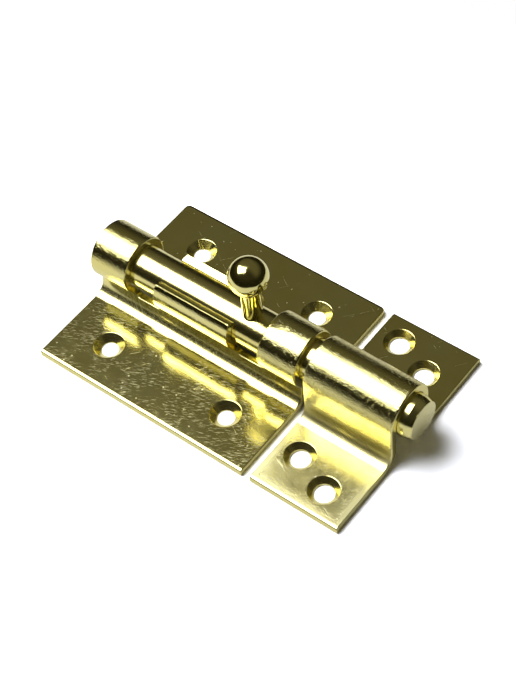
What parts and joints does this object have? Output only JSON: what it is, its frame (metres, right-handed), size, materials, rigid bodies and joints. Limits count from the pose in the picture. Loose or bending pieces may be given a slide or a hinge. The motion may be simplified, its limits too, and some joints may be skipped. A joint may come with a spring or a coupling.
{
  "type": "door bolt",
  "caption": "Surface door bolt: round rod sliding in a pressed sheet barrel with open lips, a ball knob turning over it between notches, and a separate arched strip keeper.",
  "frame": {"origin": "centre of the main plate, on the door's surface: the centre of its four screw holes at the back face", "axes": "+X along the bolt from the main plate towards the keeper, +Y across the plates towards their back edge, +Z away from the door"},
  "size_m": [0.1196, 0.0746, 0.0461],
  "materials": {
    "brass_plate": "bright polished, fine brushed grain on the front flange",
    "brass_rod": "drawn bar, bright with fine lengthwise lines",
    "brass_knob": "turned and mirror polished",
    "brass_keeper": "bright polished with a slight orange-peel grain on the arch"
  },
  "bodies": {
    "plate": {"main_plate": "brass_plate"},
    "rod": {"bolt_rod": "brass_rod"},
    "knob": {"ball_knob": "brass_knob"},
    "keeper": {"keeper": "brass_keeper"}
  },
  "joints": [
    {"name": "bolt_slide", "type": "slide", "parent": "plate", "child": "rod", "axis": [1, 0, 0], "range_m": [-0.0402, 0.0043]},
    {"name": "knob_turn", "type": "hinge", "parent": "rod", "child": "knob", "pos_m": [0.0179, 0, 0.0164], "axis": [1, 0, 0], "range_deg": [-107, 107]},
    {"name": "keeper_part", "type": "slide", "parent": "plate", "child": "keeper", "axis": [1, 0, 0], "range_m": [0, 0.06]}
  ]
}
